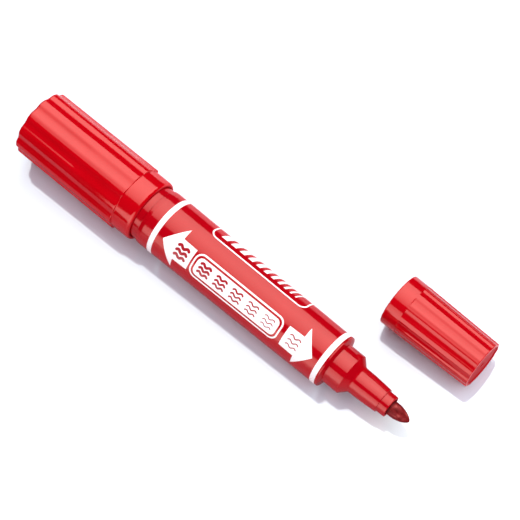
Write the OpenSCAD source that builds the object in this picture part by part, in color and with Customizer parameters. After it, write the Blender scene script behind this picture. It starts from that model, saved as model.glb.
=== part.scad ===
// Twin-tip felt marker: a tapered barrel with a broad felt nib at one end
// and a fine felt nib at the other, one fluted cap for each end.
// The broad cap is on; the fine cap is off and lies beside the fine nose.
// Lengths in millimetres. +X runs along the pen from the broad end to the
// fine end, +Y points to the side where the loose cap lies, +Z is up.

/* [Barrel] */
// Length of the barrel tube
barrel_len = 63.8; // [55:0.1:75]
// Outside diameter of the barrel near its broad end
barrel_d_broad = 17.5; // [17.2:0.05:18.0]
// Outside diameter of the barrel at its fine end
barrel_d_fine = 16.17; // [15.9:0.01:16.6]
// Bore of the barrel
barrel_bore_d = 14.2; // [13.6:0.1:14.6]

/* [Broad end] */
// Diameter of the neck that the broad cap slides over
neck_d = 16.78; // [16.4:0.02:16.8]
// Length of the neck
neck_len = 10.8; // [8:0.1:12]
// Diameter of the broad nib
broad_nib_d = 8; // [6:0.1:9]
// How far the broad nib stands out of its holder
broad_nib_out = 8.5; // [6:0.1:9]

/* [Fine end] */
// Diameter of the flange that the fine cap closes against
flange_d = 16.16; // [15.6:0.02:16.6]
// Thickness of that flange
flange_t = 1.0; // [0.8:0.05:1.4]
// Diameter of the seat that the fine cap slides over
seat_d = 12.24; // [11.6:0.02:12.26]
// Length of the seat
seat_len = 4.9; // [4:0.1:5]
// Diameter of the fine nib
fine_nib_d = 4.3; // [3.5:0.05:4.4]
// How far the fine nib stands out of its holder
fine_nib_out = 6.2; // [4:0.05:7]

/* [Broad cap] */
// Length of the broad cap
broad_cap_len = 41.95; // [41:0.05:46]
// Diameter over the crests of the flutes
broad_cap_d = 20.3; // [20:0.05:21.5]
// Depth of a flute under the crests
broad_flute_depth = 0.4; // [0.3:0.01:0.5]
// Number of flutes round the broad cap
broad_flutes = 12; // [12:1:16]
// Length of the plain collar at the mouth
broad_collar_len = 6.1; // [5:0.1:9]
// Diameter of that collar
broad_collar_d = 19.2; // [19:0.05:19.3]
// Gap between the mouth of the broad cap and the end of the barrel
broad_cap_gap = 2.1; // [1:0.1:2.5]

/* [Fine cap] */
// Length of the fine cap
fine_cap_len = 28.9; // [28.5:0.1:34]
// Diameter at the mouth
fine_cap_d_mouth = 15.6; // [15.4:0.05:16.1]
// Diameter at the closed end
fine_cap_d_end = 14.3; // [14.2:0.05:15.2]
// Number of grooves round the fine cap
fine_flutes = 12; // [8:1:12]
// Depth of a groove
fine_flute_depth = 0.27; // [0.2:0.01:0.32]
// Length of the plain collar at the mouth
fine_collar_len = 4.85; // [3:0.05:6]
// Distance from the pen's axis to the axis of the cap lying beside it
cap_beside = 24.55; // [22:0.05:40]
// Distance from the flange to the mouth of the cap lying beside it
cap_ahead = 0.85; // [0:0.05:20]

/* [Hidden] */

RED = [0.80, 0.02, 0.04];
RED_IN = [0.72, 0.05, 0.06];
NIB = [0.46, 0.10, 0.12];
FIBRE = [0.62, 0.08, 0.10];
FILM = [0.88, 0.86, 0.84];
LINER = [0.90, 0.88, 0.86];

// Clearances and interferences, radial
slide_fit = 0.06;   // cap on its seat
press = 0.02;       // pieces pushed into each other

// Stations along the pen, from the broad end of the barrel
u_neck = -neck_len;                        // end of the neck
u_bcone = u_neck - 3;                      // end of the cone behind the broad nose
u_bstep = u_bcone - 13;                    // step near the tip of the broad holder
u_btip = u_bstep - 3;                      // mouth of the broad holder
u_bnib = u_btip - broad_nib_out;           // tip of the broad nib
u_blip = -broad_cap_gap;                   // mouth of the broad cap
u_bend = u_blip - broad_cap_len;           // closed end of the broad cap
u_flange = barrel_len + flange_t;          // front of the flange
u_seat = u_flange + seat_len;              // end of the cap seat
u_fcone = u_seat + 2.05;                   // end of the cone
u_fmid = u_fcone + 3.9;                    // where the nose starts to close in
u_fstep = u_fcone + 9.0;                   // step near the tip of the fine holder
u_ftip = u_fstep + 2.65;                   // mouth of the fine holder
u_fnib = u_ftip + fine_nib_out;            // tip of the fine nib
u_fcap = u_flange + cap_ahead;             // mouth of the loose fine cap
u_fcap_end = u_fcap + fine_cap_len;        // its closed end
plug_broad = 14.2;                         // depth of the broad holder in the barrel
plug_fine = 9.8;                           // depth of the fine holder in the barrel
u_res0 = plug_broad;                       // ends of the ink reservoir
u_res1 = barrel_len - plug_fine;
nib_in = 3.5;                              // how far each nib enters the reservoir

// Radii
r_bore = barrel_bore_d / 2;
r_neck = neck_d / 2;
r_seat = seat_d / 2;
r_bc = broad_cap_d / 2;
r_bnib = broad_nib_d / 2;
r_fnib = fine_nib_d / 2;
r_liner_b = 6.5;                           // bore of the broad cap's liner
r_liner_f = 4.12;                          // bore of the fine cap's liner
r_cav_b = 8.3;                             // cavity behind the seat of the broad cap
r_cav_f = 5.9;                             // cavity behind the seat of the fine cap
r_res = 6.6;                               // ink reservoir
film_t = 0.15;                             // film round the reservoir

// Flutes of the broad cap: shallow hollows between narrow crests.
// Each hollow is an arc through both crest edges and the flute's bottom.
land_b = 4.0;                              // half angle of a crest, degrees
turn_b = 15.5;                             // turn of the flutes round the pen, degrees
half_b = 180 / broad_flutes - land_b;
edge_x = r_bc * cos(half_b);
edge_y = r_bc * sin(half_b);
bottom_b = r_bc - broad_flute_depth;
flute_c = (edge_x * edge_x + edge_y * edge_y - bottom_b * bottom_b) / (2 * (edge_x - bottom_b));
flute_r = flute_c - bottom_b;

// Grooves of the fine cap
groove_r = 11;
turn_f = 1.5;                              // turn of the grooves round the cap, degrees

// Placing: the box of the whole object is centred on X and Y and stands on Z = 0
// How far the crests of the broad cap reach from its axis in the direction at that angle
function crest_reach(at) = r_bc * max([for (k = [-broad_flutes : broad_flutes])
    cos(max(0, abs(at - turn_b - k * 360 / broad_flutes) - land_b))]);
reach = crest_reach(270);
x_mid = (u_bend + u_fcap_end) / 2;
y_pen = -(cap_beside + fine_cap_d_mouth / 2 - reach) / 2;
z_axis = crest_reach(0);

// Points of a quarter-round edge
function edge(r, u, er, eu, a0, a1, n = 4) =
    [for (i = [0 : n]) let (a = a0 + (a1 - a0) * i / n) [r + er * cos(a), u + eu * sin(a)]];

module on_pen() translate([-x_mid, y_pen, z_axis]) rotate([0, 90, 0]) children();
module on_cap() translate([u_fcap - x_mid, y_pen + cap_beside, z_axis]) rotate([0, 90, 0]) children();
module lathe(pts) rotate_extrude($fn = 96) polygon(pts);

// Fluted cap for the broad end, closed at its far end
module broad_cap() color(RED) on_pen() difference() {
    lathe(concat(
        [[0, u_bend], [r_bc - 0.5, u_bend]],
        edge(r_bc - 0.5, u_bend + 0.5, 0.5, 0.5, -67.5, 0, 3),
        [[r_bc, u_blip - broad_collar_len - 0.25],
         [r_bc - 0.2, u_blip - broad_collar_len],
         [broad_collar_d / 2, u_blip - broad_collar_len]],
        edge(broad_collar_d / 2 - 0.7, u_blip - 0.8, 0.7 - 0.05, 0.8, 0, 90, 4),
        [[0, u_blip]]));
    lathe([[0, u_bend + 2], [r_cav_b, u_bend + 2],
           [r_cav_b, u_neck - 1.2], [r_neck + slide_fit, u_neck - 1.2 + 0.2],
           [r_neck + slide_fit, u_blip - 0.25], [r_neck + slide_fit + 0.2, u_blip],
           [r_neck + slide_fit + 0.2, u_blip + 1], [0, u_blip + 1]]);
    for (k = [0 : broad_flutes - 1])
        rotate([0, 0, turn_b + (k + 0.5) * 360 / broad_flutes])
            translate([flute_c, 0, u_bend - 1])
                cylinder(r = flute_r, h = broad_cap_len - broad_collar_len + 1.02, $fn = 180);
    // shallow dished end
    translate([0, 0, u_bend - 1]) cylinder(r = r_bc - 2.2, h = 1.35, $fn = 72);
}

// Soft inner cup that seals over the broad nose
module broad_cap_liner() color(LINER) on_pen() lathe([
    [0, u_bend + 2], [r_cav_b + press, u_bend + 2],
    [r_cav_b + press, u_bcone - 2], [r_cav_b - 0.5, u_bcone - 1.5],
    [r_liner_b + 0.4, u_bcone - 1.5], [r_liner_b, u_bcone - 2],
    [r_liner_b, u_bend + 3.2], [0, u_bend + 3.2]]);

// Tapered tube with a small rounded bead at the broad end
module barrel() color(RED) on_pen() lathe(concat(
    [[r_bore, 0], [r_neck + 0.02, 0]],
    edge(r_neck + 0.02, 0.9, barrel_d_broad / 2 + 0.05 - r_neck - 0.02, 0.9, -75, 0, 5),
    [[barrel_d_broad / 2 + 0.03, 2.2], [barrel_d_broad / 2, 4.2],
     [barrel_d_fine / 2, barrel_len - 0.15], [barrel_d_fine / 2 - 0.15, barrel_len],
     [r_bore, barrel_len]]));

// Plug, neck and nose that carry the broad nib
module broad_holder() color(RED) on_pen() lathe([
    [r_bnib, u_btip], [5.0, u_btip], [5.2, u_btip + 0.2], [5.2, u_bstep],
    [5.6, u_bstep], [6.4, u_bcone], [r_neck - 0.3, u_neck - 0.1], [r_neck, u_neck + 0.3],
    [r_neck, 0], [r_bore + press, 0], [r_bore + press, plug_broad - 0.6],
    [r_bore - 0.3, plug_broad], [6.0, plug_broad], [6.0, 4.2], [r_bnib, 4.2]]);

// Broad felt nib, a bullet that reaches back into the reservoir
module broad_nib() color(NIB) on_pen() lathe(concat(
    [[0, u_bnib]],
    [for (i = [1 : 12]) let (t = i / 12)
        [(r_bnib - 0.15) * pow(sin(90 * t), 0.62), u_bnib + (broad_nib_out - 0.6) * t]],
    [[r_bnib + press, u_btip + 0.6], [r_bnib + press, u_res0 + nib_in], [0, u_res0 + nib_in]]));

// Fibre core that stores the ink, with a pocket for each nib
module ink_reservoir() color(FIBRE) on_pen() lathe([
    [r_bnib + press, u_res0], [r_res, u_res0], [r_res, u_res1], [r_fnib + press, u_res1],
    [r_fnib + press, u_res1 - nib_in], [0, u_res1 - nib_in],
    [0, u_res0 + nib_in], [r_bnib + press, u_res0 + nib_in]]);

// Film wrapped round the fibre core
module reservoir_sleeve() color(FILM) on_pen() lathe([
    [r_res, u_res0], [r_res + film_t, u_res0], [r_res + film_t, u_res1], [r_res, u_res1]]);

// Plug, flange, cap seat and nose that carry the fine nib
module fine_holder() color(RED) on_pen() lathe([
    [r_fnib, u_res1 + 8], [6.0, u_res1 + 8], [6.0, u_res1], [r_bore - 0.3, u_res1],
    [r_bore + press, u_res1 + 0.6], [r_bore + press, barrel_len],
    [flange_d / 2 - 0.15, barrel_len], [flange_d / 2, barrel_len + 0.15],
    [flange_d / 2, u_flange - 0.2], [flange_d / 2 - 0.2, u_flange],
    [r_seat, u_flange], [r_seat, u_seat], [4.03, u_fcone],
    [3.97, u_fmid], [3.83, u_fmid + 2.1], [3.62, u_fstep], [3.24, u_fstep],
    [3.21, u_ftip - 0.15], [3.06, u_ftip], [2.5, u_ftip], [2.4, u_ftip - 1.2],
    [r_fnib, u_ftip - 1.2]]);

// Fine felt nib, a slim bullet that reaches back into the reservoir
module fine_nib() color(NIB) on_pen() lathe(concat(
    [[0, u_res1 - nib_in], [r_fnib + press, u_res1 - nib_in], [r_fnib + press, u_ftip - 1.2],
     [r_fnib - 0.02, u_ftip - 1.0]],
    [for (i = [12 : -1 : 1]) let (t = i / 12)
        [(r_fnib - 0.01) * pow(sin(90 * t), 0.56), u_fnib - 0.84 * fine_nib_out * t]],
    [[0, u_fnib]]));

// Grooved cap for the fine end, closed at its far end
module fine_cap() color(RED) on_cap() difference() {
    lathe(concat(
        [[0, 0]],
        edge(fine_cap_d_mouth / 2 - 0.25, 0.25, 0.25, 0.25, -90, 0, 3),
        [[fine_cap_d_mouth / 2 - 0.06, fine_collar_len]],
        edge(fine_cap_d_end / 2 - 0.35, fine_cap_len - 0.35, 0.35, 0.35, 0, 90, 3),
        [[0, fine_cap_len]]));
    lathe([[0, -1], [r_seat + slide_fit + 0.3, -1], [r_seat + slide_fit + 0.3, 0],
           [r_seat + slide_fit, 0.3], [r_seat + slide_fit, 6.0], [r_cav_f, 6.2],
           [r_cav_f, fine_cap_len - 1.6], [0, fine_cap_len - 1.6]]);
    d0 = fine_cap_d_mouth / 2 - 0.06 - fine_flute_depth + groove_r;
    d1 = fine_cap_d_end / 2 - fine_flute_depth + groove_r;
    run = fine_cap_len - fine_collar_len;
    lean = atan((d0 - d1) / run);
    for (k = [0 : fine_flutes - 1])
        rotate([0, 0, turn_f + k * 360 / fine_flutes])
            translate([d0, 0, fine_collar_len]) rotate([0, -lean, 0]) intersection() {
                cylinder(r = groove_r, h = run + 1, $fn = 180);
                translate([-groove_r - 0.2, -1.9, -0.1]) cube([1.2, 3.8, run + 1.2]);
            }
    // shallow dished end with a small round mark at its centre
    translate([0, 0, fine_cap_len - 0.3]) cylinder(r = fine_cap_d_end / 2 - 1.1, h = 1, $fn = 72);
    translate([0, 0, fine_cap_len - 0.5]) cylinder(r = 0.7, h = 1, $fn = 36);
}

// Soft inner cup that seals over the fine nose
module fine_cap_liner() color(LINER) on_cap() lathe([
    [r_liner_f + 0.3, 8.8], [r_cav_f - 0.4, 8.8], [r_cav_f + press, 9.3],
    [r_cav_f + press, fine_cap_len - 1.6], [0, fine_cap_len - 1.6],
    [0, fine_cap_len - 2.8], [r_liner_f, fine_cap_len - 2.8], [r_liner_f, 9.1]]);

broad_cap();
broad_cap_liner();
barrel();
broad_holder();
broad_nib();
ink_reservoir();
reservoir_sleeve();
fine_holder();
fine_nib();
fine_cap();
fine_cap_liner();
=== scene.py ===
import math

import bmesh
import bpy
import numpy as np
from mathutils import Matrix, Vector


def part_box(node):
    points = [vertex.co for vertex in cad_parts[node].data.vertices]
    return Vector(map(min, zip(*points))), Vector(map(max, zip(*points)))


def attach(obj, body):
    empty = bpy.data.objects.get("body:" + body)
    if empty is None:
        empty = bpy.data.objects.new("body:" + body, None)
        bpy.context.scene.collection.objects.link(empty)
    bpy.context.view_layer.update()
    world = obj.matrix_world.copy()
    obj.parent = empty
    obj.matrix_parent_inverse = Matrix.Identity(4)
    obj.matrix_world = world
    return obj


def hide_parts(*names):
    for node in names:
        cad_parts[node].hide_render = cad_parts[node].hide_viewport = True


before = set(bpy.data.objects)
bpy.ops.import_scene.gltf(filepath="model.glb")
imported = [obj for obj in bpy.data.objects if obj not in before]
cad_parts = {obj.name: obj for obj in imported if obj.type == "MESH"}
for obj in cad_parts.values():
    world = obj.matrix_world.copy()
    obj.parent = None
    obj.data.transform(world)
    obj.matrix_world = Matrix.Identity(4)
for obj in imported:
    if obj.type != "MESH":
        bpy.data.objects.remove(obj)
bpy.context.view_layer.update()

MM = 0.001

# ---------------------------------------------------------------- stations
# The pen's own coordinates: u along its axis from the broad end of the
# barrel, r from the axis. Everything below is in millimetres until a mesh
# is made. The axes are read off the frame's own boxes.
_lo, _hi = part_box("barrel")
X0 = _lo.x / MM
YP = (_lo.y + _hi.y) / 2 / MM
ZP = (_lo.z + _hi.z) / 2 / MM
_lo, _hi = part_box("fine_cap")
XC = _lo.x / MM
YC = (_lo.y + _hi.y) / 2 / MM
ZC = (_lo.z + _hi.z) / 2 / MM

PEN = (X0, YP, ZP)
CAP = (XC, YC, ZC)

U_BEND, U_STEP, U_LIP = -44.05, -8.2, -2.1
U_NECK, U_BCONE, U_BSTEP, U_BTIP, U_BNIB = -10.8, -13.8, -26.8, -29.8, -38.3
LEN = 63.8
U_FLANGE, U_SEAT, U_FCONE = 64.8, 69.7, 71.75
U_FMID, U_FSTEP, U_FTIP, U_FNIB = 75.65, 80.75, 83.4, 89.6
U_RES0, U_RES1 = 14.2, 54.0


def barrel_r(u):
    """Outside radius of the barrel's plain taper."""
    return 8.75 + (8.085 - 8.75) * (u - 4.2) / (LEN - 0.15 - 4.2)


# ---------------------------------------------------------------- mesh tools
def rounded(corners, closed=False, seg=5, support=0.12):
    """Profile points (u, r) from corners (u, r, edge radius), with a support
    point on each side of every rounded edge so that shading stays tight."""
    n = len(corners)
    out = []
    for i, (u, r, rad) in enumerate(corners):
        p = np.array((u, r), float)
        if rad <= 0 or (not closed and i in (0, n - 1)):
            out.append(tuple(p))
            continue
        a = np.array(corners[i - 1][:2], float) - p
        b = np.array(corners[(i + 1) % n][:2], float) - p
        la, lb = np.linalg.norm(a), np.linalg.norm(b)
        a, b = a / la, b / lb
        half = math.acos(max(-1, min(1, float(a @ b)))) / 2
        t = min(rad / math.tan(half), 0.42 * la, 0.42 * lb)
        rad = t * math.tan(half)
        mid = (a + b) / np.linalg.norm(a + b)
        c = p + mid * rad / math.sin(half)
        s, e = p + a * t, p + b * t
        sa = min(support, 0.3 * (la - t))
        sb = min(support, 0.3 * (lb - t))
        out.append(tuple(s + a * sa))
        v0, v1 = s - c, e - c
        w = math.acos(max(-1, min(1, float(v0 @ v1) / (rad * rad))))
        for k in range(seg + 1):
            f = k / seg
            q = (math.sin((1 - f) * w) * v0 + math.sin(f * w) * v1) / math.sin(w)
            out.append(tuple(c + q))
        out.append(tuple(e + b * sb))
    return out


def dense(points, step):
    """Extra points on long straight stretches of a profile."""
    out = [points[0]]
    for p, q in zip(points, points[1:]):
        k = max(1, int(math.ceil(math.hypot(q[0] - p[0], q[1] - p[1]) / step)))
        for j in range(1, k + 1):
            out.append((p[0] + (q[0] - p[0]) * j / k, p[1] + (q[1] - p[1]) * j / k))
    return out


def spin(name, rows, place, nseg=192, closed=False, sharp=32):
    """A turned mesh. rows are (u, r), where r is a number, 0 at a pole, or an
    array of one radius for each of the nseg directions. Direction 0 is the
    underside, a quarter turn on is +Y."""
    x0, yc, zc = place
    ang = np.arange(nseg) * (2 * math.pi / nseg)
    cy, cz = np.sin(ang), -np.cos(ang)
    co, index = [], []
    for u, r in rows:
        if np.ndim(r) == 0 and r < 1e-6:
            index.append([len(co)])
            co.append((x0 + u, yc, zc))
        else:
            base = len(co)
            rr = np.broadcast_to(np.asarray(r, float), (nseg,))
            uu = np.full(nseg, x0 + u)
            co.extend(np.stack([uu, yc + rr * cy, zc + rr * cz], 1).tolist())
            index.append(list(range(base, base + nseg)))
    faces = []
    pairs = list(zip(index, index[1:])) + ([(index[-1], index[0])] if closed else [])
    for p, q in pairs:
        for j in range(nseg):
            k = (j + 1) % nseg
            if len(p) == 1 and len(q) == 1:
                continue
            if len(p) == 1:
                faces.append((p[0], q[j], q[k]))
            elif len(q) == 1:
                faces.append((p[j], q[0], p[k]))
            else:
                faces.append((p[j], q[j], q[k], p[k]))
    return solid(name, np.array(co) * MM, faces, sharp)


def solid(name, co, faces, sharp=32):
    me = bpy.data.meshes.new(name)
    me.from_pydata([tuple(c) for c in co], [], faces)
    bm = bmesh.new()
    bm.from_mesh(me)
    bmesh.ops.recalc_face_normals(bm, faces=bm.faces)
    for f in bm.faces:
        f.smooth = True
    bm.to_mesh(me)
    bm.free()
    me.set_sharp_from_angle(angle=math.radians(sharp))
    me.update()
    ob = bpy.data.objects.new(name, me)
    bpy.context.scene.collection.objects.link(ob)
    return ob


# ---------------------------------------------------------------- materials
def new_mat(name):
    m = bpy.data.materials.new(name)
    m.use_nodes = True
    nt = m.node_tree
    b = nt.nodes["Principled BSDF"]
    return m, nt, b


def coords(nt, scale):
    tc = nt.nodes.new("ShaderNodeTexCoord")
    mp = nt.nodes.new("ShaderNodeMapping")
    mp.inputs["Scale"].default_value = scale
    nt.links.new(tc.outputs["Object"], mp.inputs["Vector"])
    return mp.outputs["Vector"]


def noise(nt, vec, scale, detail=3.0, rough=0.5):
    n = nt.nodes.new("ShaderNodeTexNoise")
    n.inputs["Scale"].default_value = scale
    n.inputs["Detail"].default_value = detail
    n.inputs["Roughness"].default_value = rough
    nt.links.new(vec, n.inputs["Vector"])
    return n.outputs["Fac"]


def ramp(nt, fac, stops):
    r = nt.nodes.new("ShaderNodeValToRGB")
    el = r.color_ramp.elements
    while len(el) < len(stops):
        el.new(0.5)
    for e, (pos, col) in zip(el, stops):
        e.position = pos
        e.color = (*col, 1) if len(col) == 3 else col
    nt.links.new(fac, r.inputs["Fac"])
    return r.outputs["Color"]


def span(nt, fac, lo, hi, a=0.0, b=1.0):
    m = nt.nodes.new("ShaderNodeMapRange")
    m.inputs["From Min"].default_value = a
    m.inputs["From Max"].default_value = b
    m.inputs["To Min"].default_value = lo
    m.inputs["To Max"].default_value = hi
    nt.links.new(fac, m.inputs["Value"])
    return m.outputs["Result"]


def bump(nt, bsdf, height, strength, distance):
    b = nt.nodes.new("ShaderNodeBump")
    b.inputs["Strength"].default_value = strength
    b.inputs["Distance"].default_value = distance
    nt.links.new(height, b.inputs["Height"])
    nt.links.new(b.outputs["Normal"], bsdf.inputs["Normal"])


def red_plastic(name, deep, bright, rough=(0.05, 0.10), wave=0.5, ior=1.92):
    """Polished moulded plastic: slight colour drift, a little uneven gloss
    and the faint waviness of a moulded wall."""
    m, nt, b = new_mat(name)
    v = coords(nt, (1000, 1000, 1000))
    n1 = noise(nt, v, 0.09, 3, 0.55)
    c = ramp(nt, n1, [(0.30, deep), (0.72, bright)])
    nt.links.new(c, b.inputs["Base Color"])
    n2 = noise(nt, v, 0.8, 4, 0.6)
    nt.links.new(span(nt, n2, rough[0], rough[1], 0.3, 0.7), b.inputs["Roughness"])
    n3 = noise(nt, v, 0.16, 2, 0.4)
    bump(nt, b, n3, wave, 0.00002)
    b.inputs["IOR"].default_value = ior
    b.inputs["Specular Tint"].default_value = (1.0, 0.475, 0.425, 1.0)
    return m


RED_CAP = red_plastic("cap_plastic", (0.47, 0.0004, 0.0040), (0.51, 0.0006, 0.0056), (0.06, 0.085))
RED_CAP_FINE = red_plastic("fine_cap_plastic", (0.44, 0.0004, 0.0040), (0.48, 0.0006, 0.0056), ior=1.86)
RED_BARREL = red_plastic("barrel_plastic", (0.385, 0.0004, 0.0046), (0.425, 0.0006, 0.0062), (0.07, 0.12), 0.4, 1.83)
RED_HOLDER = red_plastic("holder_plastic", (0.37, 0.0004, 0.0046), (0.41, 0.0006, 0.0062), (0.05, 0.10), 0.4, 1.83)


RED_END = red_plastic("cap_end_plastic", (0.42, 0.0004, 0.0060), (0.47, 0.0006, 0.0080), (0.50, 0.62), 0.4, 1.5)


# lighter pink plastic for the fine cap's thin end rim: a painted highlight along that edge
RIM_PAINTED_HIGHLIGHT = red_plastic("cap_rim_painted_highlight", (0.60, 0.075, 0.080), (0.66, 0.095, 0.10), (0.22, 0.34), 0.4, 1.6)


def white_ink():
    """Screen-printed white: nearly even, with fine pinholes of thinner ink."""
    m, nt, b = new_mat("print_ink")
    v = coords(nt, (1000, 1000, 1000))
    n = noise(nt, v, 3.2, 4, 0.6)
    nt.links.new(ramp(nt, n, [(0.25, (0.86, 0.84, 0.845)), (0.6, (0.95, 0.945, 0.945))]), b.inputs["Base Color"])
    nt.links.new(span(nt, n, 0.22, 0.34, 0.3, 0.7), b.inputs["Roughness"])
    bump(nt, b, noise(nt, v, 6.0, 3, 0.6), 0.15, 0.00001)
    b.inputs["IOR"].default_value = 1.48
    return m


def red_ink():
    """The red that shows through the strokes left open in the white."""
    m, nt, b = new_mat("stroke_red")
    v = coords(nt, (1000, 1000, 1000))
    n = noise(nt, v, 2.4, 4, 0.6)
    nt.links.new(ramp(nt, n, [(0.3, (0.30, 0.004, 0.012)), (0.7, (0.42, 0.008, 0.018))]), b.inputs["Base Color"])
    nt.links.new(span(nt, n, 0.18, 0.3, 0.3, 0.7), b.inputs["Roughness"])
    b.inputs["IOR"].default_value = 1.5
    return m


def felt(name, x_mouth, x_clear):
    """Pressed felt soaked in ink: fibres and streaks that run with the nib, dark wet blotches and drier paler
    patches. From x_mouth to x_clear it is darker where it leaves its holder: painted shade in the gap at the holder's
    mouth."""
    m, nt, b = new_mat(name)
    streak = noise(nt, coords(nt, (380, 1250, 1250)), 0.95, 3, 0.55)
    blotch = noise(nt, coords(nt, (1000, 1000, 1000)), 0.85, 4, 0.62)
    fib = noise(nt, coords(nt, (700, 5200, 5200)), 1.0, 5, 0.7)

    def math_node(op, x, y):
        n = nt.nodes.new("ShaderNodeMath")
        n.operation = op
        for i, v in enumerate((x, y)):
            if isinstance(v, float):
                n.inputs[i].default_value = v
            else:
                nt.links.new(v, n.inputs[i])
        return n.outputs[0]

    mix = math_node("ADD", math_node("MULTIPLY", streak, 0.55), math_node("MULTIPLY", blotch, 0.30))
    mix = math_node("ADD", mix, math_node("MULTIPLY", fib, 0.15))
    tc = nt.nodes.new("ShaderNodeTexCoord")
    xyz = nt.nodes.new("ShaderNodeSeparateXYZ")
    nt.links.new(tc.outputs["Object"], xyz.inputs[0])
    # painted shade: darker at the holder's mouth, fading out along the nib
    mouth_shade = span(nt, xyz.outputs["X"], -0.17, 0.0, x_mouth, x_clear)
    c = ramp(nt, math_node("ADD", mix, mouth_shade),
             [(0.36, (0.075, 0.001, 0.002)), (0.455, (0.140, 0.005, 0.006)), (0.545, (0.215, 0.016, 0.018)), (0.66, (0.40, 0.080, 0.064))])
    nt.links.new(c, b.inputs["Base Color"])
    nt.links.new(span(nt, blotch, 0.30, 0.50, 0.3, 0.7), b.inputs["Roughness"])
    bump(nt, b, fib, 0.55, 0.00008)
    b.inputs["IOR"].default_value = 1.26
    b.inputs["Specular Tint"].default_value = (1.0, 0.62, 0.58, 1.0)
    return m


def natural_plastic():
    """Milky soft plastic of the cap liners."""
    m, nt, b = new_mat("liner_plastic")
    v = coords(nt, (1000, 1000, 1000))
    n = noise(nt, v, 0.5, 4, 0.6)
    nt.links.new(ramp(nt, n, [(0.3, (0.74, 0.66, 0.62)), (0.7, (0.85, 0.80, 0.77))]), b.inputs["Base Color"])
    nt.links.new(span(nt, n, 0.32, 0.5, 0.3, 0.7), b.inputs["Roughness"])
    bump(nt, b, noise(nt, v, 2.5, 3, 0.6), 0.2, 0.00002)
    b.inputs["IOR"].default_value = 1.51
    return m


def fibre_core():
    m, nt, b = new_mat("ink_fibre")
    f = noise(nt, coords(nt, (120, 6000, 6000)), 1.0, 5, 0.7)
    nt.links.new(ramp(nt, f, [(0.3, (0.16, 0.006, 0.012)), (0.7, (0.50, 0.05, 0.06))]), b.inputs["Base Color"])
    nt.links.new(span(nt, f, 0.55, 0.9, 0.3, 0.7), b.inputs["Roughness"])
    bump(nt, b, f, 0.7, 0.0001)
    b.inputs["Sheen Weight"].default_value = 0.3
    return m


def film():
    m, nt, b = new_mat("sleeve_film")
    v = coords(nt, (1000, 1000, 1000))
    n = noise(nt, v, 0.35, 4, 0.55)
    nt.links.new(ramp(nt, n, [(0.3, (0.70, 0.52, 0.50)), (0.7, (0.86, 0.78, 0.76))]), b.inputs["Base Color"])
    nt.links.new(span(nt, n, 0.12, 0.28, 0.3, 0.7), b.inputs["Roughness"])
    bump(nt, b, n, 0.3, 0.00005)
    return m


WHITE = white_ink()
STROKE = red_ink()
FELT_FINE = felt("nib_felt_fine", (X0 + U_FTIP) * MM, (X0 + U_FTIP + 0.75) * MM)
FELT_BROAD = felt("nib_felt_broad", (X0 + U_BTIP) * MM, (X0 + U_BTIP - 1.2) * MM)
LINER = natural_plastic()


def put(ob, mat, body, slot=None, *nodes):
    ob.data.materials.clear()
    ob.data.materials.append(mat)
    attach(ob, body)
    if nodes:
        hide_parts(*nodes)
    return ob


# ---------------------------------------------------------------- broad cap
NB = 540
ang_b = np.degrees(np.arange(NB) * 2 * math.pi / NB)
R_CREST, R_COLLAR = 10.15, 9.6


def wave(deg):
    """Twelve shallow hollows that run into each other over broad crests:
    0 on a crest, about -1.87 in a hollow."""
    w = np.radians(12 * (deg - 15.5))
    return np.cos(w) - 0.159 * np.cos(2 * w) - 0.066 * np.cos(3 * w) - 0.775


WAVE = wave(ang_b)
U_JOIN = -23.8      # faint ring where two mould inserts meet


def flute(u):
    """Outline of the broad cap at u. The hollows are a little deeper
    towards the closed end, with a faint ring where that starts."""
    t = 1 / (1 + math.exp((u - U_JOIN) / 0.6))
    seam = 0.002 * math.exp(-((u - U_JOIN) / 0.16) ** 2)
    return R_CREST - 0.02 + (0.197 + 0.053 * t) * WAVE + seam


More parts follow.
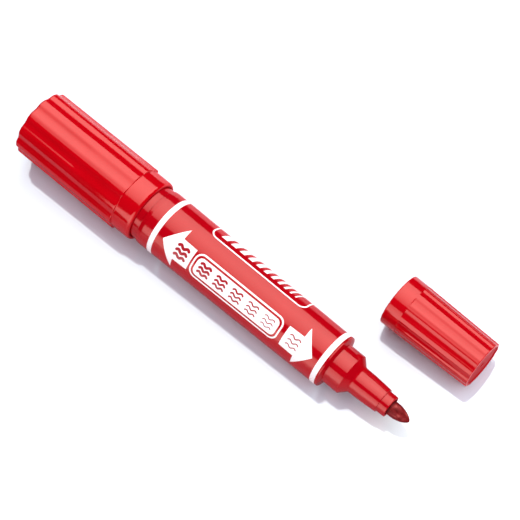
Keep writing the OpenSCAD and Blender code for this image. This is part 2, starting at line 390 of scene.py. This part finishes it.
def broad_cap_mesh():
    rows = []
    end = flute(U_BEND)
    # closed end: shallow dish inside a flat rim
    rows += [(U_BEND + 0.35, 0.0), (U_BEND + 0.35, 2.0), (U_BEND + 0.35, 7.45), (U_BEND + 0.335, 7.65),
             (U_BEND + 0.27, 7.80), (U_BEND + 0.08, 7.88), (U_BEND + 0.01, 7.98), (U_BEND, 8.15), (U_BEND, 8.35)]
    for w in (0.25, 0.5, 0.75, 0.92):
        rows.append((U_BEND, 8.35 + (end - 0.55 - 8.35) * w))
    for a in np.linspace(-90, 0, 9):
        rows.append((U_BEND + 0.5 + 0.5 * math.sin(math.radians(a)), end - 0.5 + 0.5 * math.cos(math.radians(a))))
    for u in [U_BEND + 0.62] + list(np.linspace(U_BEND + 2, U_JOIN - 4, 6)) + list(np.linspace(U_JOIN - 3.2, U_JOIN - 0.8, 6)) \
            + list(np.linspace(U_JOIN - 0.6, U_JOIN + 0.6, 17)) \
            + list(np.linspace(U_JOIN + 0.8, U_JOIN + 3.2, 6)) + list(np.linspace(U_JOIN + 4, U_STEP - 1.4, 5)):
        rows.append((u, flute(u)))
    # the flutes end in a small rounded step down to the collar
    last = flute(U_STEP - 1)
    rows.append((U_STEP - 0.3, last))
    for t in np.linspace(0, 1, 11):
        k = t * t * t * (t * (6 * t - 15) + 10)
        rows.append((U_STEP - 0.10 + 0.17 * t, R_COLLAR + (last - R_COLLAR) * (1 - k)))
    rows.append((U_STEP + 0.2, R_COLLAR))
    # mouth: the collar rounds over to a narrow face, with a thin gap to the neck
    top = R_COLLAR - 0.035
    rows.append((U_LIP - 1.6, top))
    for a in np.linspace(0, 84, 15):
        c, s = math.cos(math.radians(a)), math.sin(math.radians(a))
        rows.append((U_LIP - 1.0 + 1.0 * s, top - 0.70 + 0.70 * c))
    prof = rounded([rows[-1] + (0,), (U_LIP, 8.66, 0.05), (U_LIP - 0.24, 8.45, 0.05),
                    (U_NECK - 1.0, 8.45, 0.05), (U_NECK - 1.2, 8.3, 0.05), (U_BEND + 2, 8.3, 0), (U_BEND + 2, 0, 0)], seg=6)
    rows += [(u, r if r > 1e-6 else 0.0) for u, r in prof[1:]]
    return spin("broad_cap_shell", rows, PEN, NB)


broad_cap = put(broad_cap_mesh(), RED_CAP, "broad_cap_body", "cap_plastic", "broad_cap")
# the narrow face of its mouth is dull
broad_cap.data.materials.append(RED_END)
for f in broad_cap.data.polygons:
    if f.center.x > (X0 + U_LIP - 0.06) * MM:
        f.material_index = 1


# ---------------------------------------------------------------- fine cap
NF = 600
ang_f = np.degrees(np.arange(NF) * 2 * math.pi / NF)
FLEN = 28.9


COLLAR = 4.85


def fine_r(d):
    """Outside radius of the fine cap over its crests at depth d from its mouth."""
    return 7.8 - 0.06 * d / COLLAR if d < COLLAR else 7.74 + (7.15 - 7.74) * (d - COLLAR) / (FLEN - COLLAR)


def groove(d, k=1.0):
    """Outline at depth d: twelve shallow hollows between broad flat crests.
    k brings the hollows in at the shoulder of the collar."""
    w = np.radians(12 * (ang_f - 1.5 - 15))
    wave = np.cos(w) - 0.169 * np.cos(2 * w) - 0.133 * np.cos(3 * w)
    return fine_r(d) + k * 0.147 * (wave - 0.698)


def fine_cap_mesh():
    rows = []
    for a in np.linspace(-90, 0, 6):
        rows.append((0.22 + 0.22 * math.sin(math.radians(a)), 7.8 - 0.22 + 0.22 * math.cos(math.radians(a))))
    for d in (0.34, 1.0, 2.0, 3.0, 4.0, COLLAR - 0.12):
        rows.append((d, fine_r(d)))
    for d, k in ((-0.03, 0.0), (-0.01, 0.06), (0.01, 0.30), (0.025, 0.70), (0.045, 0.94), (0.08, 1.0), (0.16, 1.0)):
        rows.append((COLLAR + d, groove(COLLAR + d, k)))
    for d in np.linspace(COLLAR + 0.8, FLEN - 1.2, 14):
        rows.append((d, groove(d)))
    rows.append((FLEN - 0.42, groove(FLEN - 0.42)))
    last = groove(FLEN - 0.3)
    for a in np.linspace(0, 90, 8):
        c, s = math.cos(math.radians(a)), math.sin(math.radians(a))
        rows.append((FLEN - 0.3 + 0.3 * s, last - 0.3 + 0.3 * c))
    rows.append((FLEN, 6.45 + 0 * last))
    prof = rounded([(FLEN, 6.35, 0), (FLEN, 6.05, 0.10), (FLEN - 0.3, 5.98, 0.10), (FLEN - 0.3, 0.85, 0.06),
                    (FLEN - 0.5, 0.72, 0.06), (FLEN - 0.5, 0, 0)], seg=5)
    tail = [(u, r if r > 1e-6 else 0.0) for u, r in prof]
    inner = rounded([(0.0, 7.55, 0), (0.0, 6.5, 0.10), (0.32, 6.18, 0.10), (6.0, 6.18, 0.05), (6.2, 5.9, 0.05),
                     (FLEN - 1.6, 5.9, 0), (FLEN - 1.6, 0, 0)], seg=5)
    head = [(u, r if r > 1e-6 else 0.0) for u, r in inner[1:]][::-1]
    return spin("fine_cap_shell", head + rows + tail, CAP, NF)


fine_cap = put(fine_cap_mesh(), RED_CAP_FINE, "fine_cap_body", "cap_plastic", "fine_cap")
# its end face has the dull grain of an eroded mould
fine_cap.data.materials.append(RED_END)
# slot 2 is a painted highlight: the thin rounded rim round its end face is made lighter pink
fine_cap.data.materials.append(RIM_PAINTED_HIGHLIGHT)
x_end = max(v.co.x for v in fine_cap.data.vertices)
for f in fine_cap.data.polygons:
    off = math.hypot(f.center.y - CAP[1] * MM, f.center.z - CAP[2] * MM)
    if f.center.x > x_end - 0.0006 and off < 0.0064:
        f.material_index = 1
    elif f.center.x > x_end - 0.00014:
        f.material_index = 2

# ---------------------------------------------------------------- barrel
bp = rounded([(0.0, 7.1, 0.05), (0.0, 8.45, 0.03), (0.10, 8.67, 0.10), (1.3, 8.78, 1.6), (4.2, 8.75, 0),
              (LEN, 8.085, 0.14), (LEN, 7.1, 0.05)], closed=True, seg=6)
put(spin("barrel_tube", bp, PEN, 256, closed=True), RED_BARREL, "pen_body", "barrel_plastic", "barrel")

# ---------------------------------------------------------------- holders
bh = rounded([(U_BTIP, 4.0, 0.05), (U_BTIP, 5.2, 0.25), (U_BSTEP, 5.2, 0.08), (U_BSTEP, 5.6, 0.12), (U_BCONE, 6.4, 0.35),
              (U_NECK, 8.39, 0.45), (0.0, 8.39, 0.02), (0.0, 7.10, 0.02), (14.2, 7.10, 0.4), (14.2, 6.0, 0.05), (4.2, 6.0, 0.05),
              (4.2, 4.0, 0.05)], closed=True, seg=6)
put(spin("broad_nib_holder", bh, PEN, 192, closed=True), RED_HOLDER, "pen_body", "holder_plastic", "broad_holder")

fh = rounded([(U_RES1 + 8, 2.15, 0.05), (U_RES1 + 8, 6.0, 0.05), (U_RES1, 6.0, 0.05), (U_RES1, 7.10, 0.4), (LEN, 7.10, 0.02),
              (LEN, 8.06, 0.10), (LEN + 0.42, 8.06, 0.10), (U_FLANGE - 0.04, 6.34, 0.05), (U_FLANGE, 6.12, 0.05), (U_SEAT, 6.12, 0.14),
              (U_FCONE, 4.03, 1.1), (U_FMID, 3.97, 2.2), (U_FMID + 2.1, 3.83, 2.2), (U_FSTEP, 3.62, 0.10), (U_FSTEP, 3.24, 0.05),
              (U_FTIP, 3.21, 0.16), (U_FTIP, 2.5, 0.08), (U_FTIP - 1.2, 2.41, 0.05), (U_FTIP - 1.2, 2.15, 0.03)], closed=True, seg=6)
fine_holder = put(spin("fine_nib_holder", fh, PEN, 192, closed=True), RED_HOLDER, "pen_body", "holder_plastic", "fine_holder")
# the cut face at its mouth is dull
fine_holder.data.materials.append(RED_END)
for f in fine_holder.data.polygons:
    if f.center.x > (X0 + U_FTIP - 0.06) * MM:
        f.material_index = 1


# ---------------------------------------------------------------- nibs
def waver(j, nseg, phase, amount):
    """Small deterministic unevenness round a felt nib."""
    a = np.arange(nseg) * 2 * math.pi / nseg
    return 1 + amount * (0.5 * np.sin(3 * a + phase) + 0.3 * np.sin(7 * a - 1.7 * phase + j) + 0.2 * np.sin(13 * a + 2.3 * j))


def nib(name, u_back, u_front, u_tip, r_in, r_out, taper, power, sign):
    """Bullet nib. sign is +1 when the tip points along the pen's u."""
    n = 96
    rows = [(u_back, 0.0), (u_back, r_in * 0.6), (u_back, r_in - 0.1), (u_back + sign * 0.1, r_in),
            (u_back + sign * 0.3, r_in), (u_front - sign * 0.5, r_in), (u_front - sign * 0.3, r_in - 0.01)]
    steps = 40
    for i in range(steps, 0, -1):
        t = i / steps
        u = u_tip - sign * taper * t
        r = r_out * math.sin(math.pi / 2 * t) ** power
        rows.append((u, r * waver(i * 0.35, n, 0.6 + 0.11 * i, 0.006)))
    for t in (0.012, 0.005, 0.0015):
        rows.append((u_tip - sign * taper * t, r_out * math.sin(math.pi / 2 * t) ** power))
    rows.append((u_tip, 0.0))
    return spin(name, rows, PEN, n, sharp=50)


put(nib("fine_felt_nib", U_RES1 - 3.5, U_FTIP - 1.0, U_FNIB, 2.15, 2.14, 5.2, 0.56, 1), FELT_FINE, "pen_body", "nib_felt", "fine_nib")
put(nib("broad_felt_nib", U_RES0 + 3.5, U_BTIP + 0.6, U_BNIB, 4.0, 3.85, 7.9, 0.62, -1), FELT_BROAD, "pen_body", "nib_felt", "broad_nib")


# ---------------------------------------------------------------- print
R_REF = 8.45


def wrap(bm, name, centre_deg, top, bottom, mat):
    """Bends flat faces (x along the pen, y round it) onto the barrel as a
    thin closed skin of ink."""
    geom = bmesh.ops.extrude_face_region(bm, geom=bm.faces[:])["geom"]
    moved = [v for v in geom if isinstance(v, bmesh.types.BMVert)]
    for v in bm.verts:
        v.co.z = top
    for v in moved:
        v.co.z = bottom
    for v in bm.verts:
        phi = math.radians(centre_deg) + v.co.y / R_REF
        r = barrel_r(v.co.x) + v.co.z
        v.co = Vector(((X0 + v.co.x), YP + r * math.sin(phi), ZP + r * math.cos(phi))) * MM
    bmesh.ops.recalc_face_normals(bm, faces=bm.faces)
    for f in bm.faces:
        f.smooth = True
    me = bpy.data.meshes.new(name)
    bm.to_mesh(me)
    bm.free()
    me.set_sharp_from_angle(angle=math.radians(40))
    ob = bpy.data.objects.new(name, me)
    bpy.context.scene.collection.objects.link(ob)
    return put(ob, mat, "pen_body", "barrel_plastic")


def fill(bm, loop):
    """A flat face with that outline; strips() cuts such faces into narrow strips so they can bend."""
    vs = [bm.verts.new((x, y, 0)) for x, y in loop]
    return bm.faces.new(vs)


def strips(bm, step=0.33):
    bmesh.ops.triangulate(bm, faces=bm.faces[:])
    ys = [v.co.y for v in bm.verts]
    k = math.floor(min(ys) / step) + 1
    while k * step < max(ys):
        bmesh.ops.bisect_plane(bm, geom=bm.verts[:] + bm.edges[:] + bm.faces[:], dist=1e-5,
                               plane_co=(0, k * step, 0), plane_no=(0, 1, 0))
        k += 1


def box_loop(x0, x1, h, rad, step=0.3, arc=10):
    """Outline of a rounded box, x0 to x1 long and 2 h high."""
    pts = []
    cx = [(x1 - rad, h - rad, 0), (x0 + rad, h - rad, 90), (x0 + rad, -h + rad, 180), (x1 - rad, -h + rad, 270)]
    for i, (x, y, a0) in enumerate(cx):
        for k in range(arc + 1):
            a = math.radians(a0 + 90 * k / arc)
            pts.append((x + rad * math.cos(a), y + rad * math.sin(a)))
        nx, ny, na = cx[(i + 1) % 4]
        e = (nx + rad * math.cos(math.radians(na)), ny + rad * math.sin(math.radians(na)))
        s = pts[-1]
        n = max(1, int(math.hypot(e[0] - s[0], e[1] - s[1]) / step))
        for k in range(1, n):
            pts.append((s[0] + (e[0] - s[0]) * k / n, s[1] + (e[1] - s[1]) * k / n))
    return pts


def frame_skin(bm, x0, x1, h, rad, width):
    a = box_loop(x0, x1, h, rad)
    # the inner outline has the same number of points as the outer one
    b = []
    for x, y in a:
        cx = min(max(x, x0 + rad), x1 - rad)
        cy = min(max(y, -h + rad), h - rad)
        dx, dy = x - cx, y - cy
        l = math.hypot(dx, dy)
        b.append((x - dx / l * width, y - dy / l * width))
    va = [bm.verts.new((x, y, 0)) for x, y in a]
    vb = [bm.verts.new((x, y, 0)) for x, y in b]
    n = len(a)
    for i in range(n):
        j = (i + 1) % n
        bm.faces.new((va[i], va[j], vb[j], vb[i]))


def ring(name, u0, u1):
    rows = rounded([(u0, barrel_r(u0) - 0.05, 0), (u0, barrel_r(u0) + 0.03, 0), (u1, barrel_r(u1) + 0.03, 0),
                    (u1, barrel_r(u1) - 0.05, 0)])
    return put(spin(name, rows, PEN, 256, closed=True), WHITE, "pen_body", "barrel_plastic")


ring("print_ring_broad", 4.2, 5.75)
ring("print_ring_fine", 61.98, 63.56)

PHI = -36.3
INK = (0.032, -0.03)


def arrow(name, tip, neck, tail):
    bm = bmesh.new()
    hb, hn, ht = 6.45, 3.36, 3.22
    loop = [(tip, 0), (neck, hb), (neck, hn), (tail, ht), (tail, -ht), (neck, -hn), (neck, -hb)]
    fill(bm, loop)
    strips(bm)
    return wrap(bm, name, PHI, *INK, WHITE)


arrow("print_arrow_broad", 7.72, 12.75, 17.65)
arrow("print_arrow_fine", 60.25, 55.25, 50.35)

bm = bmesh.new()
frame_skin(bm, 18.25, 48.95, 3.72, 2.35, 0.48)
wrap(bm, "print_label_frame", PHI, *INK, WHITE)
bm = bmesh.new()
fill(bm, box_loop(19.35, 47.85, 2.62, 1.5))
strips(bm)
wrap(bm, "print_label_panel", PHI, *INK, WHITE)


def stroke(bm, x, y, length, width, swing, turns=1.5):
    """One wavy pen stroke with round ends."""
    n = 36
    mid = []
    for i in range(n + 1):
        t = i / n
        mid.append((x + length * (t - 0.5), y + swing * math.sin(2 * math.pi * turns * t)))
    left, right = [], []
    for i, (px, py) in enumerate(mid):
        qx, qy = mid[min(i + 1, n)]
        ox, oy = mid[max(i - 1, 0)]
        dx, dy = qx - ox, qy - oy
        l = math.hypot(dx, dy)
        nx, ny = -dy / l, dx / l
        left.append((px + nx * width / 2, py + ny * width / 2))
        right.append((px - nx * width / 2, py - ny * width / 2))
    def cap(c, start, sign):
        a0 = math.atan2(start[1] - c[1], start[0] - c[0])
        return [(c[0] + width / 2 * math.cos(a0 + sign * math.pi * k / 8), c[1] + width / 2 * math.sin(a0 + sign * math.pi * k / 8))
                for k in range(1, 8)]
    loop = left + cap(mid[-1], left[-1], -1) + right[::-1] + cap(mid[0], right[0], -1)
    fill(bm, loop)


bm = bmesh.new()
for k in range(5):
    w = 0.74 - 0.115 * k
    for row in (-1.25, 0, 1.25):
        stroke(bm, 22.4 + 5.6 * k, row, 3.3, w, 0.28)
strips(bm)
wrap(bm, "print_label_strokes", PHI, 0.05, 0.0, STROKE)
bm = bmesh.new()
for row in (-1.45, 0, 1.45):
    stroke(bm, 14.3, row, 3.4, 0.86, 0.30)
    stroke(bm, 53.6, row, 3.4, 0.34, 0.30)
strips(bm)
wrap(bm, "print_arrow_strokes", PHI, 0.05, 0.0, STROKE)

PHI2 = 55.0
bm = bmesh.new()
frame_skin(bm, 16.5, 50.1, 4.25, 2.3, 0.46)
wrap(bm, "print_panel_frame", PHI2, *INK, WHITE)
bm = bmesh.new()
x = 19.4
for k in range(11):
    w = 2.05 - 0.16 * k
    lean = 1.1
    loop = [(x, -2.25), (x + w, -2.25), (x + w + lean, 2.25), (x + lean, 2.25)]
    fill(bm, loop)
    x += w + 1.28
strips(bm)
wrap(bm, "print_panel_bars", PHI2, *INK, WHITE)

# ---------------------------------------------------------------- inner pieces
for node, mat in (("broad_cap_liner", LINER), ("fine_cap_liner", LINER), ("ink_reservoir", fibre_core()), ("reservoir_sleeve", film())):
    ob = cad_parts[node]
    ob.data.materials.clear()
    ob.data.materials.append(mat)

# ---------------------------------------------------------------- floor
SLOPE = math.radians(1.62)
X_TOUCH = (X0 + U_STEP) * MM


def floor_mesh(name, drop, keep, tones, ior, along=((0.0, (1, 1, 1)), (1.0, (1, 1, 1))), pale=None):
    """A sheet of the tilted floor. keep says which of its tiles are made. tones are its colours at places across it,
    from 20 mm in front to 40 mm behind. along tints the part behind the pen, from 80 mm left to 80 mm right. pale is
    the middle of a small round part that is lighter than the rest: a painted pool of light."""
    me = bpy.data.meshes.new(name)
    cuts_x = sorted({-8.0, -3.0, -1.5, -0.6, -0.25, -0.12, CORNER[0], 0.0, 0.12, 0.25, 0.6, 1.5, 3.0, 8.0})
    cuts_y = sorted({-8.0, -3.0, -1.5, -0.6, -0.25, -0.12, CORNER[1], 0.0, BACK, 0.12, 0.25, 0.6, 1.5, 3.0, 8.0})
    co = [(x, y, (x - X_TOUCH) * math.tan(SLOPE) - drop) for x in cuts_x for y in cuts_y]
    faces, ny = [], len(cuts_y)
    for i in range(len(cuts_x) - 1):
        for j in range(ny - 1):
            if keep((cuts_x[i] + cuts_x[i + 1]) / 2, (cuts_y[j] + cuts_y[j + 1]) / 2):
                faces.append((i * ny + j, (i + 1) * ny + j, (i + 1) * ny + j + 1, i * ny + j + 1))
    me.from_pydata(co, [], faces)
    me.update()
    ob = bpy.data.objects.new(name, me)
    bpy.context.scene.collection.objects.link(ob)
    m, nt, b = new_mat(name)
    v = coords(nt, (1, 1, 1))
    xyz = nt.nodes.new("ShaderNodeSeparateXYZ")
    nt.links.new(v, xyz.inputs[0])
    drift = nt.nodes.new("ShaderNodeMath")
    drift.operation = "MULTIPLY_ADD"
    drift.inputs[1].default_value = 0.004
    nt.links.new(noise(nt, v, 9.0, 3, 0.5), drift.inputs[0])
    nt.links.new(xyz.outputs["Y"], drift.inputs[2])
    mix = nt.nodes.new("ShaderNodeMix")
    mix.data_type = "RGBA"
    mix.blend_type = "MULTIPLY"
    nt.links.new(span(nt, xyz.outputs["Y"], 0.0, 1.0, -0.005, -0.001), mix.inputs["Factor"])
    nt.links.new(ramp(nt, span(nt, drift.outputs[0], 0.0, 1.0, -0.02, 0.04), tones), mix.inputs[6])
    nt.links.new(ramp(nt, span(nt, xyz.outputs["X"], 0.0, 1.0, -0.08, 0.08), list(along)), mix.inputs[7])
    tone = mix.outputs[2]
    # painted light: a small round patch of paler, cooler floor that lifts the shade there
    if pale:
        near = nt.nodes.new("ShaderNodeVectorMath")
        near.operation = "DISTANCE"
        near.inputs[1].default_value = pale
        nt.links.new(v, near.inputs[0])
        spot = nt.nodes.new("ShaderNodeMix")
        spot.data_type = "RGBA"
        spot.inputs[7].default_value = (0.83, 0.89, 0.92, 1)
        nt.links.new(span(nt, near.outputs["Value"], 1.0, 0.0, 0.006, 0.016), spot.inputs["Factor"])
        nt.links.new(tone, spot.inputs[6])
        tone = spot.outputs[2]
    nt.links.new(tone, b.inputs["Base Color"])
    nt.links.new(span(nt, noise(nt, v, 60.0, 3, 0.5), 0.02, 0.05, 0.3, 0.7), b.inputs["Roughness"])
    b.inputs["IOR"].default_value = ior
    ob.data.materials.append(m)
    return ob


# The floor in view is a polished white sheet. What the plastic mirrors and what bounces light back up is a duller
# sheet that ends near the front corner and behind the loose cap; its colours carry painted shade and painted red
# bounce from the pen.
CORNER = (-0.058, -0.065)
BACK = 0.07
# the pale round part under the nib is painted light that lifts the nib's shadow
floor = floor_mesh("floor", 0.0, lambda x, y: True, [(0.0, (0.645, 0.700, 0.790)), (1.0, (0.650, 0.705, 0.795))], 2.4,
                   pale=(0.064, -0.015, 0.0027))
for flag in ("visible_diffuse", "visible_glossy", "visible_transmission", "visible_volume_scatter", "visible_shadow"):
    setattr(floor, flag, False)
# painted light in its colours: dark and red in front of and under the pen (painted shade and red bounce), bright pink
# just behind the pen and a pink tint behind the barrel (painted red bounce), duller grey behind the loose cap
bench = floor_mesh("bench", 0.0001, lambda x, y: y < BACK and not (x < CORNER[0] and y < CORNER[1]),
                   [(0.0, (0.46, 0.235, 0.275)), (0.33, (0.54, 0.36, 0.40)), (0.38, (0.95, 0.56, 0.62)), (0.46, (0.98, 0.66, 0.71)),
                    (0.58, (0.80, 0.62, 0.67)), (0.70, (0.92, 0.76, 0.82)), (0.90, (0.98, 0.86, 0.92))], 1.1,
                   ((0.0, (1, 1, 1)), (0.185, (1, 1, 1)), (0.225, (0.95, 0.56, 0.56)), (0.34, (0.95, 0.54, 0.55)),
                    (0.66, (0.95, 0.54, 0.55)), (0.74, (0.72, 0.72, 0.72)), (1.0, (0.72, 0.72, 0.72))))
bench.visible_camera = False


# ---------------------------------------------------------------- light
def softbox(name, phi, dist, foot_x, box, radiance, spread=180, round_=False, gloss=True):
    """Flat soft light that faces the pen. Seen in the pen's cross-section it
    stands at angle phi from upright (+ towards +Y), dist away, and its
    centre line meets the pen at foot_x. box is (x0, x1, t0, t1): how far it
    reaches from that line along the pen and across it. A spread under 180
    makes it brightest in the middle."""
    x0, x1, t0, t1 = box
    li = bpy.data.lights.new(name, "AREA")
    li.shape = "ELLIPSE" if round_ else "RECTANGLE"
    li.size, li.size_y = x1 - x0, t1 - t0
    li.spread = math.radians(spread)
    half = li.spread / 2
    gain = 1.0 if spread >= 179 else math.tan(half) / (math.tan(half) - half)
    li.energy = radiance / gain * math.pi * li.size * li.size_y * (math.pi / 4 if round_ else 1)
    a = math.radians(phi)
    n = Vector((0, math.sin(a), math.cos(a)))
    t = Vector((0, math.cos(a), -math.sin(a)))
    ob = bpy.data.objects.new(name, li)
    m = Matrix((Vector((1, 0, 0)), n.cross(Vector((1, 0, 0))), n)).transposed().to_4x4()
    m.translation = Vector((foot_x + (x0 + x1) / 2, YP * MM, ZP * MM)) + dist * n + (t0 + t1) / 2 * t
    ob.matrix_world = m
    ob.visible_camera = False
    ob.visible_glossy = gloss
    bpy.context.scene.collection.objects.link(ob)
    return ob


D_KEY = 0.70
softbox("key", 32.0, D_KEY, -0.30, (-0.225, 0.44, D_KEY * math.tan(math.radians(-52.5)), D_KEY * math.tan(math.radians(35.5))), 3.5, 130)
# white cards round the key that only the floor mirrors, so it stays white from any side
only_floor = bpy.data.collections.new("only_floor")
only_floor.objects.link(floor)
cards = []
k0, k1 = D_KEY * math.tan(math.radians(-52.5)), D_KEY * math.tan(math.radians(35.5))
for i, card in enumerate(((-4.0, -0.225, k0, k1), (0.44, 4.0, k0, k1), (-4.0, 4.0, -4.0, k0), (-4.0, 4.0, k1, 4.0))):
    cards.append(softbox("card_%d" % i, 32.0, D_KEY, -0.30, card, 2.6))
for i, aim in enumerate((Vector((1, 0, 0)), Vector((-1, 0, 0)), Vector((0, 1, 0)), Vector((0, -1, 0)))):
    ob = softbox("card_low_%d" % i, 0.0, 3.0, 0.0, (-3.3, 3.3, -3.3, 3.3), 2.6)
    ob.matrix_world = Matrix.Translation(3.0 * aim) @ aim.to_track_quat("Z", "Y").to_matrix().to_4x4()
    cards.append(ob)
for ob in cards:
    ob.visible_diffuse = False
    ob.light_linking.receiver_collection = only_floor
D_FRONT = 0.60
softbox("front", -78.0, D_FRONT, 0.14, (-0.384, 0.384, -0.384, 0.384), 2.95, 100, True)
softbox("fill_front", -78.0, 0.80, 0.0, (-0.5, 0.5, -0.35, 0.35), 0.6, 180, False, False)

# soft light on the faces that look along the pen, seen in no reflection
side = softbox("fill_side", 0.0, 0.80, 0.0, (-0.4, 0.4, -0.4, 0.4), 2.6, 180, False, False)
aim = Vector((0.66, 0.30, 0.68)).normalized()
side.matrix_world = Matrix.Translation(Vector((0.0, YP * MM, ZP * MM)) + 0.8 * aim) @ aim.to_track_quat("Z", "Y").to_matrix().to_4x4()

w = bpy.data.worlds.new("studio")
w.use_nodes = True
w.node_tree.nodes["Background"].inputs["Color"].default_value = (0.265, 0.275, 0.32, 1)
w.node_tree.nodes["Background"].inputs["Strength"].default_value = 1.0
bpy.context.scene.world = w
w.cycles_visibility.glossy = False
w.cycles_visibility.camera = False

# ---------------------------------------------------------------- camera
cam = bpy.data.cameras.new("view")
cam.sensor_width = 36.0
cam.lens = 1900 / 520 * 36.0
cam.clip_start, cam.clip_end = 0.01, 20
co = bpy.data.objects.new("view", cam)
right = Vector((0.75310692, 0.65711999, -0.03198881))
down = Vector((0.60662094, -0.71240711, -0.35282736))
fwd = Vector((-0.25463897, 0.24631164, -0.93514147))
m = Matrix((right, -down, -fwd)).transposed().to_4x4()
m.translation = Vector((157.14147 + X0 + 4.2, -118.31301 + YP, 482.75261 + ZP)) * MM
co.matrix_world = m
bpy.context.scene.collection.objects.link(co)
bpy.context.scene.camera = co

sc = bpy.context.scene
sc.view_settings.view_transform = "Standard"
sc.view_settings.look = "None"
sc.view_settings.exposure = 0.0
sc.view_settings.gamma = 1.0
